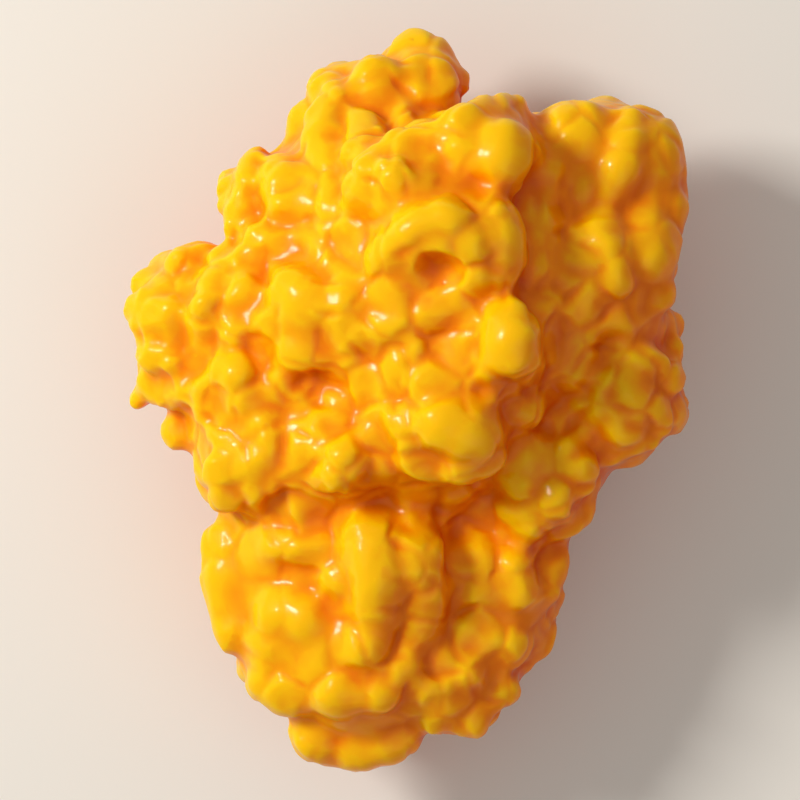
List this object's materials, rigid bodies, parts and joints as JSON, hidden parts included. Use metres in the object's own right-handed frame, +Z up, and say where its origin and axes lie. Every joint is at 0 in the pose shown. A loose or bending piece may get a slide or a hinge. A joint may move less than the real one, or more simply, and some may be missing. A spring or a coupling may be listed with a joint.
{
  "type": "golden ear fungus",
  "caption": "Golden ear fungus: a soft, jelly-like orange-yellow fruit body of brain-like lobes and folds, resting on the cut base of its root.",
  "frame": {"origin": "middle of the body's outline seen from above, at the height of the flat spot it rests on", "axes": "+Z up from the flat spot to the crown, +Y along the body's length from the foot to the head lobe, +X to the right seen from above with the head lobe away from the viewer"},
  "size_m": [0.0916, 0.1212, 0.0609],
  "materials": {
    "fungus_jelly": "wet, glossy, slightly translucent gel"
  },
  "bodies": {
    "root": {"golden_ear": "fungus_jelly"}
  },
  "joints": []
}
